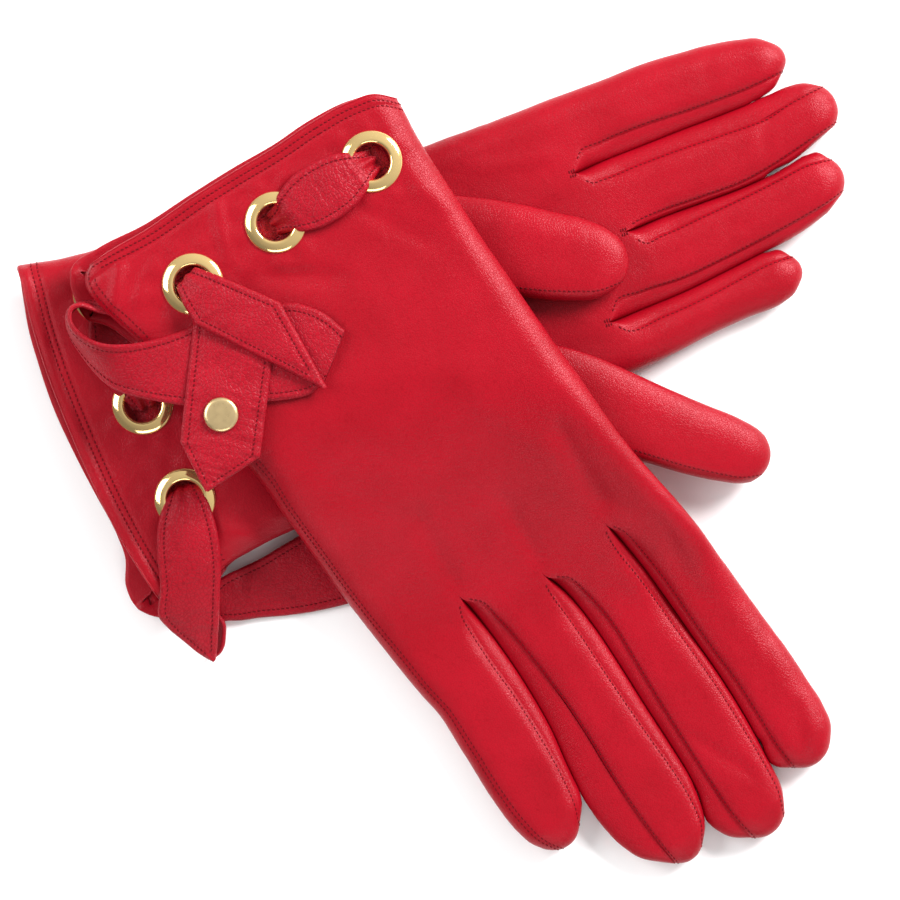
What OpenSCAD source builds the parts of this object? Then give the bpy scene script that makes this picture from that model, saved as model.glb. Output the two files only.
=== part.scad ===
// A pair of leather driving gloves, laid one across the other.
// The left glove lies palm up, and the right glove lies over it, back up.
// Each glove is drawn in its own frame and then placed:
//   x runs from the cuff to the fingertips, y towards the index finger, z up.
// Millimetres throughout.

/* [Leather] */
// Thickness of the glove leather
leather = 1.0; // [0.8:0.1:1.2]
// Half of a flat glove's thickness at the hand
half_thick = 5.3; // [5.2:0.1:5.8]
// Half of a flat finger's thickness
finger_half = 4.9; // [4.7:0.1:5.1]
// Thickness of the folded hem inside the cuff
hem_thick = 0.7; // [0.5:0.1:0.9]
// Depth of the hem
hem_depth = 6.4; // [5:0.2:6.6]

/* [Cuff] */
// Length of the open vent on the little-finger side
vent_length = 27; // [20:1:32]
// Height of the vent's gap
vent_gap = 4.4; // [3:0.2:5]

/* [Grommets] */
// Outside radius of a grommet's flange
flange_r = 8.5; // [8:0.1:8.7]
// Inside radius of a grommet
eye_r = 5.2; // [5:0.1:5.4]
// Wall of a grommet's barrel
barrel_wall = 0.4; // [0.3:0.1:0.5]
// Height of the flange above the leather
flange_high = 1.1; // [0.9:0.1:1.2]
// Thickness of the washer behind the leather
washer_thick = 0.5; // [0.4:0.1:0.6]

/* [Lace] */
// Thickness of the lace
lace_thick = 1.4; // [1.2:0.1:1.5]
// Width of the lace where it bunches between two grommets
lace_bunch = 17; // [14:1:18]
// Radius of the lace where it passes a grommet
lace_eye_r = 4.2; // [4:0.1:4.3]

/* [Stud] */
// Radius of the stud's cap
stud_r = 4.8; // [4.4:0.1:5]
// Height of the stud's cap
stud_high = 1.6; // [1.2:0.1:1.8]
// Radius of the stud's post
post_r = 1.2; // [1:0.1:1.4]

/* [Placing] */
// Angle between the two gloves
cross_angle = 74.85; // [74:0.05:75.5]
// Height of the right glove where it lies over the left one
over_height = 19; // [19:0.5:20]

/* [Hidden] */
$fn = 48;
SIDES = ["left", "right"];
FINGERS = ["little", "ring", "middle", "index"];
FACES = ["back", "palm"];
// Clearance between pieces on different bodies
gap = 0.3;
// How much later the right glove comes down on its index side, where its thumb props it up
index_lift = 0.012;
// The knuckle line, where every finger bends
KNUCKLE = [163, 158];

// Where each glove's cuff centre lies in the pair's frame
CUFF_CENTRE = [[-116.0, 55.42], [-50.7, 106.32]];

// Hand outlines: [x, little-finger edge, index edge]
HAND = [
    [[0, -52.4, 52.4], [33, -47.2, 47.4], [60, -45.2, 45], [90, -43.5, 42.5],
     [120, -41.8, 41.5], [150, -39.8, 41], [163, -38.9, 41]],
    [[0, -51.5, 51.5], [28, -45.5, 49], [66, -43.7, 46.5], [97, -44, 45.8],
     [127, -44.1, 45.7], [148, -43.4, 47.4], [158, -43.6, 48.1]]
];
// Where along the hand its rings stand, as far as the knuckle line
HAND_X = [0, 15, 30, 42, 54, 66, 78, 90, 102, 114, 126, 138, 149];

// Fingers from little to index: [base from y, base to y, tip x, tip y, far width]
FINGER_PLAN = [
    [[-38.9, -23.9, 206, -28.9, 15.6], [-23.5, -2, 226.5, -9.7, 19],
     [-1.6, 19.1, 232.5, 9.8, 19.4], [19.5, 41, 223.5, 29.8, 19.6]],
    [[-43.6, -17.4, 206.6, -34.3, 22], [-17, 7.3, 230, -11.4, 26],
     [7.7, 29.6, 237.5, 14, 22.4], [30, 48.1, 229, 36.8, 19.8]]
];

// Thumbs: [root x, root y, bend x, bend y, tip x, tip y, root width, bend width]
THUMB = [
    [98, 26, 138.9, 2.9, 161.5, -9.9, 32, 23],
    [99, 37.5, 125, 56.5, 151.8, 77.1, 27, 22]
];
// Height of each thumb's underside at its root, bend and tip: the left thumb lies on its palm,
// and the right thumb comes down from the left glove towards the table
THUMB_LOW = [[10.65, 10.65, 10.65], [11.3, 10.2, 2.5]];
// Half thickness of each thumb at its root, bend and tip
THUMB_HALF = [[2.1, 3.9, 4], [2.1, 3.6, 4.6]];

// Grommet centres, index side first: [x, y]
GROMMETS = [
    [[20, 35], [19.1, 2.2], [20.5, -27]],
    [[19, 34.5], [16.8, 3], [17, -25.7]]
];
// Height of the left glove's cuff over the table, where its lace passes below it
cuff_low = 2.7;

// Fourchettes: [name, finger number, side of the finger]
WALLS = [
    ["little_inner", 0, 1], ["ring_outer", 1, -1], ["ring_inner", 1, 1],
    ["middle_outer", 2, -1], ["middle_inner", 2, 1], ["index_outer", 3, -1]
];

function ease(t) = let (c = max(0, min(1, t))) c * c * (3 - 2 * c);
function mix(a, b, t) = a + (b - a) * t;
function edge(side, x, column) = lookup(x, [for (row = HAND[side]) [row[0], row[column]]]);

// Height of a glove's underside at a point of its own frame
function low(side, x, y) =
    side == 0
    ? cuff_low * (1 - ease((x - 32) / 34))
    : over_height * (1 - ease((x - 66 - 0.3 * y - index_lift * pow(max(0, y), 2)) / (90 + 0.18 * y)));

// A flat oval ring at x: straight above and below, round at both sides
function oval_ring(side, x, y0, y1, half, inset) = let (
    r = half - inset,
    sides = 6,
    flats = 4,
    ys = [for (i = [0:flats]) mix(y0 + half, y1 - half, i / flats)],
    spots = concat(
        [for (i = [0:flats]) [ys[i], -r]],
        [for (i = [1:sides - 1]) let (a = -90 + 180 * i / sides) [y1 - half + r * cos(a), r * sin(a)]],
        [for (i = [0:flats]) [ys[flats - i], r]],
        [for (i = [1:sides - 1]) let (a = 90 + 180 * i / sides) [y0 + half + r * cos(a), r * sin(a)]]
    )
) [for (p = spots) [x, p[0], low(side, x, p[0]) + half + p[1]]];

// Faces of a hollow skin between outer and inner rings, open or closed at each end
module skin(outer, inner, open_start, open_end) {
    n = len(outer[0]);
    m = len(outer);
    k = len(inner);
    points = [for (ring = concat(outer, inner)) for (p = ring) p];
    function at(row, i) = row * n + (i % n);
    walls = [
        for (row = [0:m - 2]) for (i = [0:n - 1])
            each [[at(row, i), at(row, i + 1), at(row + 1, i)],
                  [at(row, i + 1), at(row + 1, i + 1), at(row + 1, i)]],
        for (row = [m:m + k - 2]) for (i = [0:n - 1])
            each [[at(row, i), at(row + 1, i), at(row, i + 1)],
                  [at(row, i + 1), at(row + 1, i), at(row + 1, i + 1)]]
    ];
    start = open_start
        ? [for (i = [0:n - 1]) each [[at(0, i), at(m, i), at(0, i + 1)],
                                     [at(m, i), at(m, i + 1), at(0, i + 1)]]]
        : [[for (i = [0:n - 1]) at(0, n - 1 - i)], [for (i = [0:n - 1]) at(m, i)]];
    end = open_end
        ? [for (i = [0:n - 1]) each [[at(m - 1, i), at(m - 1, i + 1), at(m + k - 1, i)],
                                     [at(m - 1, i + 1), at(m + k - 1, i + 1), at(m + k - 1, i)]]]
        : [[for (i = [0:n - 1]) at(m - 1, i)], [for (i = [0:n - 1]) at(m + k - 1, n - 1 - i)]];
    polyhedron(points, concat(walls, start, end), convexity = 6);
}

module place(side) {
    translate([CUFF_CENTRE[side][0], CUFF_CENTRE[side][1], 0])
        rotate([0, 0, -cross_angle * side])
            children();
}

// ---- Hand and cuff ----

function hand_ring(side, x, inset) =
    oval_ring(side, x, edge(side, x, 1), edge(side, x, 2), half_thick, inset);

function hand_rings(side, inset) = [
    for (x = concat(HAND_X, KNUCKLE[side] - gap / 2)) hand_ring(side, x, inset)
];

module vent_cut(side) {
    middle = low(side, 0, 0) + half_thick;
    translate([-1, -70, middle - vent_gap / 2])
        cube([vent_length + 1, 70 + edge(side, vent_length, 1) + half_thick, vent_gap]);
}

module eye_holes(side) {
    for (g = GROMMETS[side])
        translate([g[0], g[1], low(side, g[0], g[1]) - 1])
            cylinder(r = eye_r + barrel_wall + 0.02, h = 2 * half_thick + 2);
}

module hand_shell(side) {
    color("crimson")
        place(side)
            difference() {
                skin(hand_rings(side, 0), hand_rings(side, leather), true, true);
                vent_cut(side);
                eye_holes(side);
            }
}

module cuff_hem(side) {
    inner = leather + hem_thick;
    color("firebrick")
        place(side)
            difference() {
                skin([hand_ring(side, 0, leather), hand_ring(side, hem_depth, leather)],
                     [hand_ring(side, 0, inner), hand_ring(side, hem_depth, inner)], true, true);
                vent_cut(side);
            }
}

// ---- Fingers ----

// A round-cornered ring of a finger at a fraction of its length
function finger_ring(side, plan, t, inset) = let (
    start_x = KNUCKLE[side] + gap / 2,
    x = mix(start_x, plan[2] - inset, t),
    // The last stretch of the finger closes as a round end
    round_from = 1 - 11 / (plan[2] - start_x),
    u = max(0, (t - round_from) / (1 - round_from)),
    shrink = sqrt(max(0, 1 - 0.93 * u * u)),
    middle = mix((plan[0] + plan[1]) / 2, plan[3], t),
    wide = mix((plan[1] - plan[0]) / 2, plan[4] / 2, ease(t / 0.7)) * shrink - inset,
    high = finger_half * mix(1, 0.9, t) * mix(1, shrink, 0.75) - inset,
    n = 16
) [
    for (i = [0:n - 1]) let (
        a = -90 + 360 * i / n,
        c = cos(a),
        s = sin(a),
        y = middle + wide * sign(c) * pow(abs(c), 0.72)
    )
        [x, y, low(side, x, middle) + finger_half * mix(1, 0.9, t) + high * sign(s) * pow(abs(s), 0.8)]
];

FINGER_T = [0, 0.3, 0.6, 0.84, 0.9, 0.95, 0.985, 1];

module finger_skin(side, plan) {
    skin([for (t = FINGER_T) finger_ring(side, plan, t, 0)],
         [for (t = FINGER_T) finger_ring(side, plan, t, leather)], true, false);
}

// The stretch of a finger's side wall that its fourchette fills
module wall_window(side, plan, hand) {
    far = plan[2] - 13;
    knuckle = KNUCKLE[side];
    t = (far - knuckle) / (plan[2] - knuckle);
    near_y = hand > 0 ? plan[1] : plan[0];
    far_y = mix((plan[0] + plan[1]) / 2, plan[3], t) + hand * plan[4] / 2;
    depth = 2.4;
    middle = low(side, knuckle, near_y) + finger_half - 0.2;
    translate([0, 0, middle - 2.2])
        linear_extrude(height = 4.4)
            polygon([[knuckle - 1, near_y - hand * depth], [knuckle - 1, near_y + hand * 3],
                     [far, far_y + hand * 3], [far, far_y - hand * depth]]);
}

module finger(side, number) {
    plan = FINGER_PLAN[side][number];
    color("crimson")
        place(side)
            difference() {
                finger_skin(side, plan);
                for (w = WALLS)
                    if (w[1] == number)
                        wall_window(side, plan, w[2]);
            }
}

module fourchette(side, wall) {
    plan = FINGER_PLAN[side][wall[1]];
    color("brown")
        place(side)
            intersection() {
                finger_skin(side, plan);
                wall_window(side, plan, wall[2]);
            }
}

// ---- Thumbs ----

// A thumb's frame has x along it from root to tip, with the bend at x = 0
module along_thumb(side) {
    t = THUMB[side];
    translate([t[2], t[3], 0])
        rotate(atan2(t[5] - t[3], t[4] - t[2]))
            children();
}

function thumb_ring(x, wide, high, under, inset) = let (n = 16) [
    for (i = [0:n - 1]) let (a = -90 + 360 * i / n, c = cos(a), s = sin(a))
        [x, (wide - inset) * sign(c) * pow(abs(c), 0.75),
         under + high + (high - inset) * sign(s) * pow(abs(s), 0.8)]
];

module thumb_base(side) {
    t = THUMB[side];
    h = THUMB_HALF[side];
    u = THUMB_LOW[side];
    long = norm([t[2] - t[0], t[3] - t[1]]);
    function ring(f, inset) = thumb_ring(mix(-long, -gap / 2, f), mix(t[6], t[7], f) / 2,
                                         mix(h[0], h[1], ease(f)), mix(u[0], u[1], f), inset);
    color("crimson")
        place(side)
            along_thumb(side)
                skin([for (f = [0, 0.33, 0.66, 1]) ring(f, 0)],
                     [for (f = [0.05, 0.33, 0.66, 1]) ring(f, leather)], false, true);
}

module thumb_tip(side) {
    t = THUMB[side];
    h = THUMB_HALF[side];
    low_end = THUMB_LOW[side];
    long = norm([t[4] - t[2], t[5] - t[3]]);
    function ring(f, inset) = let (
        x = mix(gap / 2, long - inset, f),
        u = max(0, (f - 0.62) / 0.38),
        shrink = sqrt(1 - 0.93 * u * u),
        full = mix(h[1], h[2], f),
        high = full * mix(1, shrink, 0.6)
    ) thumb_ring(x, t[7] / 2 * mix(1, 0.94, f) * shrink, high,
                 mix(low_end[1], low_end[2], f) + full - high, inset);
    steps = [0, 0.35, 0.62, 0.78, 0.9, 0.97, 1];
    color("crimson")
        place(side)
            along_thumb(side)
                skin([for (f = steps) ring(f, 0)], [for (f = steps) ring(f, leather)], true, false);
}

// ---- Grommets ----

// Puts a fitting on a grommet's centre, with +z out of the leather
module on_grommet(side, up, number) {
    g = GROMMETS[side][number];
    place(side)
        translate([g[0], g[1], low(side, g[0], g[1]) + (up ? 2 * half_thick : 0)])
            mirror([0, 0, up ? 0 : 1])
                children();
}

module eyelet() {
    wide = flange_r - eye_r;
    outer = eye_r + barrel_wall;
    color("gold")
        rotate_extrude()
            polygon(concat(
                [[eye_r, -leather - washer_thick], [outer, -leather - washer_thick], [outer, 0]],
                [for (a = [0:30:180]) [eye_r + wide * (1 + cos(a)) / 2, flange_high * (0.15 + 0.85 * sin(a))]]
            ));
}

module washer() {
    color("goldenrod")
        translate([0, 0, -leather - washer_thick])
            difference() {
                cylinder(r = flange_r - 0.6, h = washer_thick);
                translate([0, 0, -1])
                    cylinder(r = eye_r + barrel_wall + 0.02, h = washer_thick + 2);
            }
}

// ---- Laces ----

// Height of a lace's underside inside the cuff, and over a flange, from the leather's outer face
inside_z = -leather - washer_thick - 0.1 - lace_thick;
over_z = flange_high + 0.1;

// Outline of a stretch of lace that runs along x from one grommet to the next: it bunches at both
function bunch(long) = let (
    start = [[-3, 2.4], [4, 5], [0.32 * long, lace_bunch / 2]],
    half = concat(start, [for (i = [2:-1:0]) [long - start[i][0], start[i][1]]])
) concat(half, [for (i = [5:-1:0]) [half[i][0], -half[i][1]]]);

module from_to(a, b) {
    translate([a[0], a[1], 0])
        rotate(atan2(b[1] - a[1], b[0] - a[0]))
            children();
}

// Side view of the run outside the leather, which rises over both flanges and lies flat between
function rise(long) = let (
    start = [[-6, over_z], [flange_r + 0.4, over_z], [flange_r + 3, 0.1]],
    under = concat(start, [for (i = [2:-1:0]) [long - start[i][0], start[i][1]]])
) concat(under, [for (i = [5:-1:0]) under[i] + [0, lace_thick]]);

module outer_run(a, b) {
    long = norm(b - a);
    from_to(a, b)
        intersection() {
            translate([0, 0, -1])
                linear_extrude(height = 6)
                    polygon(bunch(long));
            rotate([90, 0, 0])
                translate([0, 0, -20])
                    linear_extrude(height = 40)
                        polygon(rise(long));
        }
}

module inner_run(a, b) {
    from_to(a, b)
        translate([0, 0, inside_z])
            linear_extrude(height = lace_thick)
                polygon(bunch(norm(b - a)));
}

// The lace where it passes through a grommet
module through(g) {
    translate([g[0], g[1], inside_z + 0.3])
        cylinder(r = lace_eye_r, h = over_z + lace_thick - inside_z - 0.6);
}

// The lace inside the index side of the cuff, from the upper grommet round to the lower one
module index_wrap(side) {
    g = GROMMETS[side][0];
    inner_r = half_thick + inside_z;
    outer_r = inner_r + lace_thick;
    half_wide = lace_eye_r - 0.5;
    fold = edge(side, g[0] + lace_eye_r, 2) - half_thick;
    translate([g[0] - half_wide, 0, low(side, g[0], g[1]) + half_thick])
        rotate([90, 0, 90])
            linear_extrude(height = 2 * half_wide)
                polygon(concat(
                    [[g[1], -outer_r]],
                    [for (a = [-90:22.5:90]) [fold + outer_r * cos(a), outer_r * sin(a)]],
                    [[g[1], outer_r], [g[1], inner_r]],
                    [for (a = [90:-22.5:-90]) [fold + inner_r * cos(a), inner_r * sin(a)]],
                    [[g[1], -inner_r]]
                ));
}

// Everything that one lace does on one face of a cuff
module threaded_face(side, up) {
    g = GROMMETS[side];
    translate([0, 0, low(side, 15, 0) + (up ? 2 * half_thick : 0)])
        mirror([0, 0, up ? 0 : 1]) {
            outer_run(g[0], g[1]);
            inner_run(g[1], g[2]);
            for (i = [0:2])
                through(g[i]);
        }
}

// A flat piece of lace: an outline, with its underside at a height
module strip(points, z, thick = lace_thick) {
    translate([0, 0, z])
        linear_extrude(height = thick)
            polygon(points);
}

// The left lace's end comes out of the last grommet, goes over the edge of the vent and down to
// the table, and folds there into a band that lies on the table
HANG_TURN = atan2(-46.8, -10.3);
HANG_SIDE = [[0, 0], [26, 0], [32, -1.6], [45, -13], [50, -14.1]];
module left_end() {
    g = GROMMETS[0][2];
    z = cuff_low + 2 * half_thick + over_z;
    outline = [for (p = HANG_SIDE) [p[0], z + p[1]]];
    intersection() {
        translate([g[0], g[1], 0])
            rotate([90, 0, HANG_TURN])
                translate([0, 0, -20])
                    linear_extrude(height = 40)
                        polygon(concat(outline, [for (i = [4:-1:0]) outline[i] + [0, lace_thick]]));
        strip([[25, -27], [27, -36], [19.5, -57], [17.5, -66], [10.6, -72.8], [-0.5, -59], [3, -51],
               [10.5, -32], [17, -25]], 0, 20);
    }
    strip([[0, -58.4], [10.8, -71.8], [17, -67.5], [27.7, -65.7], [49, -71], [66, -73], [79, -71], [76, -58],
           [62, -50.5], [48, -48.3], [34, -50.3], [8, -50.5]], 0);
    strip([[18, -26], [24, -24], [27, -40], [22, -56], [6, -56], [9, -40]], 0.2);
}

module left_lace() {
    color("crimson")
        place(0) {
            threaded_face(0, true);
            threaded_face(0, false);
            index_wrap(0);
            left_end();
        }
}

// The right lace's knot, over the back of the hand at the vent. From the bottom up it is the band
// that loops round the vent's edge, the tail, and the top fold that comes out of the last grommet.
right_top = over_height + 2 * half_thick;
band_z = right_top + 0.2;
tail_z = band_z + lace_thick + gap + 0.6;
fold_z = tail_z + lace_thick + gap;
BAND = [[14, -58], [20.5, -48.6], [25.3, -32.6], [35, -8.9], [46.3, -0.7], [55, -1.8], [61.8, -13.1],
        [54.5, -29.7], [40.4, -49.2], [24.6, -62]];
TOP_FOLD = [[13.2, -20.3], [35, -8.9], [61.8, -13.1], [26.2, -32.3], [16, -28.3]];
TAIL = [[26.7, -33.2], [47, -22.2], [65.4, -38.7], [63.5, -56.6], [50.3, -56.8]];
STUD = [51, -40.8];

module right_lace() {
    g = GROMMETS[1][2];
    under_z = over_height - over_z - lace_thick;
    color("crimson")
        place(1) {
            threaded_face(1, true);
            threaded_face(1, false);
            index_wrap(1);
            strip(BAND, band_z);
            strip(TOP_FOLD, fold_z);
            // The top fold's ends: down into the grommet, and down to the band at its far edge
            translate([g[0], g[1], right_top - 0.5])
                cylinder(r = lace_eye_r - 0.3, h = fold_z + lace_thick - right_top);
            strip([[36, -9.8], [60.8, -13.7], [58, -15], [36, -11.4]], band_z + 0.4, fold_z - band_z + 0.5);
            // The loop round the vent's edge, and its run back to the palm's grommet
            strip([[14.7, -57.5], [24.2, -61.2], [23.7, -59.8], [15, -56.2]],
                  under_z + 0.4, band_z - under_z + 0.5);
            strip([[14, -58], [24.6, -62], [24, -40], [20, -23.8], [14.5, -23.8], [11, -32]], under_z);
        }
}

module right_lace_tail() {
    color("crimson")
        place(1)
            difference() {
                strip(TAIL, tail_z);
                translate([STUD[0], STUD[1], tail_z - 1])
                    cylinder(r = post_r + 0.02, h = lace_thick + 2);
            }
}

module stud_cap() {
    color("gold")
        place(1)
            translate([STUD[0], STUD[1], tail_z + lace_thick])
                rotate_extrude()
                    polygon(concat([[0, 0], [stud_r - 0.5, 0]],
                                   [for (a = [0:15:90]) [stud_r - 0.5 + 0.5 * cos(a), 0.5 + 0.4 * sin(a)]],
                                   [[stud_r - 1.2, stud_high - 0.1], [0, stud_high]]));
}

module stud_post() {
    color("gold")
        place(1)
            translate([STUD[0], STUD[1], tail_z]) {
                cylinder(r = post_r, h = lace_thick);
                translate([0, 0, -0.55])
                    cylinder(r = stud_r - 0.8, h = 0.55);
            }
}

for (s = [0, 1]) {
    hand_shell(s);
    cuff_hem(s);
    thumb_base(s);
    thumb_tip(s);
    for (i = [0:3])
        finger(s, i);
    for (w = WALLS)
        fourchette(s, w);
    for (i = [0:2], f = FACES)
        on_grommet(s, (f == "palm") == (s == 0), i) eyelet();
    for (i = [0:2], f = FACES)
        on_grommet(s, (f == "palm") == (s == 0), i) washer();
}
left_lace();
right_lace();
right_lace_tail();
stud_cap();
stud_post();
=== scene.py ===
import math

import bpy
import numpy as np
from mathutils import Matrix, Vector


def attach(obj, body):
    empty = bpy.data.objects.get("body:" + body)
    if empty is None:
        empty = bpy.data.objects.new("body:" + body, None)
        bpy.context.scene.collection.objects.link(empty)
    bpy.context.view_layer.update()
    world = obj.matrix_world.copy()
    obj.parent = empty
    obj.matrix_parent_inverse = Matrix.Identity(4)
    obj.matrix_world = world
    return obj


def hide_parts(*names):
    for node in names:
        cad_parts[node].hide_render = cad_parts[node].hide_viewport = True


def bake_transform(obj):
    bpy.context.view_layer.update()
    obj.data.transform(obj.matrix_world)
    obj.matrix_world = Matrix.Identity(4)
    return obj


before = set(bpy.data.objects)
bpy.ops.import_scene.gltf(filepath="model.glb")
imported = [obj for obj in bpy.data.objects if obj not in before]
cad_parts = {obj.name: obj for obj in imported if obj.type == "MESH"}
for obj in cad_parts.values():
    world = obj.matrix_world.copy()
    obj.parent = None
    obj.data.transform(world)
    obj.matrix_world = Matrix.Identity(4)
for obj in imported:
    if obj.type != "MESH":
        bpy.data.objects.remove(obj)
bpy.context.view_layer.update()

MM = 0.001
SIDES = ("left", "right")
FINGERS = ("little", "ring", "middle", "index")

# ---- The layout, as the CAD model has it ----
# Each glove is drawn in its own frame, in millimetres: x runs from the cuff to the fingertips,
# y towards the index finger, z up.
CUFF_CENTRE = ((-116.0, 55.42), (-50.7, 106.32))
TURN = (0.0, math.radians(-74.85))
HALF_THICK = 5.3
FINGER_HALF = 4.9
KNUCKLE = (163.0, 158.0)
CUFF_LOW = 2.7  # the left cuff's underside; it comes down to the table towards the palm
OVER_HEIGHT = 19.0  # the right cuff's underside, over the left glove
INDEX_LIFT = 0.012  # the right glove stays up for longer towards its index finger
VENT_LENGTH = 27.0
LEATHER = 0.9
FOURCHETTE_THICK = 0.7
LACE_THICK = 1.4


def ease(t):
    c = np.clip(t, 0.0, 1.0)
    return c * c * (3 - 2 * c)


def mix(a, b, t):
    return a + (b - a) * t


def low(side, x, y):
    """Height of a glove's underside. It comes down over some length past the cuff: the right glove's
    from the edge of the left glove, which crosses it aslant."""
    if side == 0:
        return CUFF_LOW * (1 - ease((x - 32) / 34)) + 0 * y
    start = 66 + 0.3 * y + INDEX_LIFT * np.maximum(y, 0) ** 2
    return OVER_HEIGHT * (1 - ease((x - start) / (90 + 0.18 * y)))


def to_row(side, points):
    """Points of a glove's own frame, in millimetres, in the row frame, in metres."""
    c, s = math.cos(TURN[side]), math.sin(TURN[side])
    p = np.asarray(points, float)
    out = np.empty_like(p)
    out[..., 0] = CUFF_CENTRE[side][0] + c * p[..., 0] - s * p[..., 1]
    out[..., 1] = CUFF_CENTRE[side][1] + s * p[..., 0] + c * p[..., 1]
    out[..., 2] = p[..., 2]
    return out * MM


def row_normals(side, normals):
    """Directions of a glove's own frame in the row frame."""
    return unit(to_row(side, normals) - to_row(side, np.zeros(3)))


def unit(v):
    return v / np.maximum(np.linalg.norm(v, axis=-1, keepdims=True), 1e-12)


def reaches(path):
    """How far along a path each of its points is."""
    return np.concatenate([[0], np.cumsum(np.linalg.norm(np.diff(path, axis=0), axis=1))])


def at_reach(distance, reach, path):
    """The point that far along a path, or whatever else the path's rows hold."""
    return np.array([np.interp(distance, reach, path[:, a]) for a in range(3)])


def curve(*points):
    """A smooth function through a few (x, y) points, level beyond its ends."""
    xs = np.array([p[0] for p in points], float)
    ys = np.array([p[1] for p in points], float)
    slope = np.gradient(ys, xs)

    def at(x):
        x = np.asarray(x, float)
        i = np.clip(np.searchsorted(xs, x) - 1, 0, len(xs) - 2)
        h = xs[i + 1] - xs[i]
        t = np.clip((x - xs[i]) / h, 0, 1)
        a = (1 + 2 * t) * (1 - t) ** 2 * ys[i] + t * (1 - t) ** 2 * h * slope[i]
        b = t * t * (3 - 2 * t) * ys[i + 1] + t * t * (t - 1) * h * slope[i + 1]
        return a + b

    return at


# ---- Noise, the same on every run ----
LATTICE = np.random.default_rng(7).random((32, 32, 32)) * 2 - 1


def noise(points, size, seed=0):
    """Smooth noise from -1 to 1 with features of about that size."""
    p = np.asarray(points, float) / size + 5.3 * seed
    cell = np.floor(p).astype(int)
    f = p - cell
    f = f * f * (3 - 2 * f)
    total = 0
    for corner in np.ndindex(2, 2, 2):
        weight = np.prod([f[..., a] if corner[a] else 1 - f[..., a] for a in range(3)], axis=0)
        index = tuple((cell[..., a] + corner[a]) % 32 for a in range(3))
        total = total + weight * LATTICE[index]
    return total


# ---- Meshes ----
class Surface:
    """Faces on shared points. Each face belongs to a named piece; normals run on across pieces."""

    def __init__(self):
        self.points = []
        self.faces = []
        self.tags = []
        self.grids = []
        self.count = 0

    def grid(self, points, tag, flip=False):
        """points is rows by columns by 3. tag is a piece's name, or one for each row of faces."""
        rows, columns = points.shape[:2]
        index = self.count + np.arange(rows * columns).reshape(rows, columns)
        self.points.append(points.reshape(-1, 3))
        self.grids.append(index)
        self.count += rows * columns
        quads = np.stack([index[:-1, :-1], index[1:, :-1], index[1:, 1:], index[:-1, 1:]], axis=-1)
        if flip:
            quads = quads[..., ::-1]
        names = [tag] * (rows - 1) if isinstance(tag, str) else tag
        for row, name in zip(quads, names):
            self.faces.append(row.reshape(-1, 4))
            self.tags += [name] * (columns - 1)

    def weld(self):
        """Joins points that coincide, and drops the faces that this leaves without area."""
        points = np.concatenate(self.points)
        faces = np.concatenate(self.faces)
        _, first, back = np.unique(np.round(points, 3), axis=0, return_index=True, return_inverse=True)
        back = back.reshape(-1)
        self.points, faces = points[first], back[faces]
        self.grids = [back[g] for g in self.grids]
        corners = [len(set(f)) for f in faces.tolist()]
        keep = np.array(corners) > 2
        self.faces = faces[keep]
        self.tags = np.array(self.tags)[keep]

    def normals(self):
        p, f = self.points, self.faces
        face_normal = np.cross(p[f[:, 2]] - p[f[:, 0]], p[f[:, 3]] - p[f[:, 1]])
        total = np.zeros_like(p)
        for corner in range(4):
            np.add.at(total, f[:, corner], face_normal)
        return unit(total)


def make_mesh(name, points, faces, normals=None):
    """A mesh object from points in metres; faces may have repeated corners."""
    mesh = bpy.data.meshes.new(name)
    clean = []
    for f in np.asarray(faces).tolist():
        corners = [v for i, v in enumerate(f) if v != f[i - 1]]
        if len(corners) > 2:
            clean.append(corners)
    mesh.from_pydata(np.asarray(points).tolist(), [], clean)
    mesh.shade_smooth()
    if normals is not None:
        mesh.normals_split_custom_set_from_vertices(np.asarray(normals).tolist())
    mesh.update()
    obj = bpy.data.objects.new(name, mesh)
    bpy.context.scene.collection.objects.link(obj)
    return obj


def glove_mesh(name, side, surface, normals):
    """A surface drawn in a glove's frame, as a mesh object."""
    points = to_row(side, surface.points)
    return make_mesh(name, points, surface.faces, row_normals(side, normals))


def boundary(faces):
    """Directed edges that only one face uses."""
    edges = np.concatenate([faces[:, [i, (i + 1) % 4]] for i in range(4)])
    edges = edges[edges[:, 0] != edges[:, 1]]
    known = set(map(tuple, edges.tolist()))
    return np.array([e for e in edges.tolist() if (e[1], e[0]) not in known])


def leather_solid(name, side, points, faces, normals, thick):
    """A closed skin: the outer faces, the same faces inside, and a rim between them."""
    used, back = np.unique(faces, return_inverse=True)
    faces = back.reshape(faces.shape)
    outer, n = points[used], normals[used]
    size = len(outer)
    inner = outer - n * thick
    rim = [[b, a, a + size, b + size] for a, b in boundary(faces).tolist()]
    all_faces = np.concatenate([faces, faces[:, ::-1] + size, rim])
    return make_mesh(name, to_row(side, np.concatenate([outer, inner])), all_faces,
                     row_normals(side, np.concatenate([n, -n])))


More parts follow.
